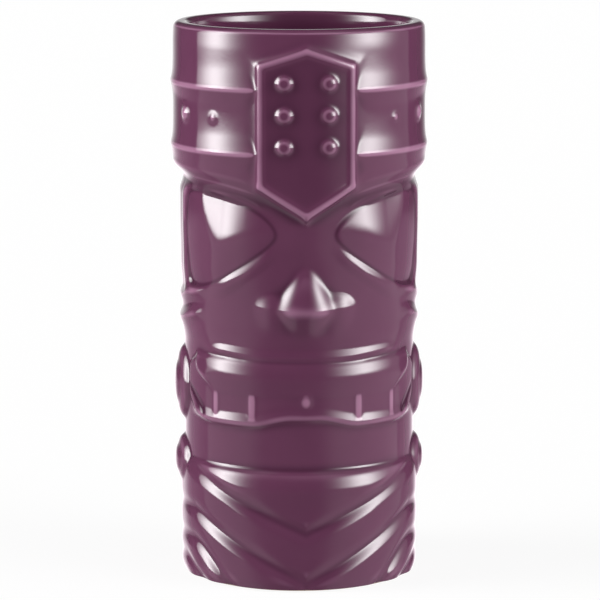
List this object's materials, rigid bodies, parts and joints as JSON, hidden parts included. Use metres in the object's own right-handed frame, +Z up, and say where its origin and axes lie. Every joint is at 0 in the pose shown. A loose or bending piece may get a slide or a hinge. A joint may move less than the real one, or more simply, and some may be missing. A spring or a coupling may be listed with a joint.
{
  "type": "tiki mug",
  "caption": "Tall cylindrical ceramic mug with a carved mask face, studded headband, side discs and chevron beard, under a glossy glaze.",
  "frame": {"origin": "centre of the foot, on the surface that the mug stands on", "axes": "+Z up through the rim, the carved face toward -Y, +X to the right of someone looking at the face"},
  "size_m": [0.0786, 0.0808, 0.17],
  "materials": {
    "bare_stoneware": "matte, unglazed, seen only on the foot",
    "outer_glaze": "glossy, paler and pinker on sharp edges, darker in grooves",
    "liner_glaze": "glossy"
  },
  "bodies": {
    "root": {"stoneware_body": "bare_stoneware", "outer_glaze": "outer_glaze", "liner_glaze": "liner_glaze"}
  },
  "joints": []
}
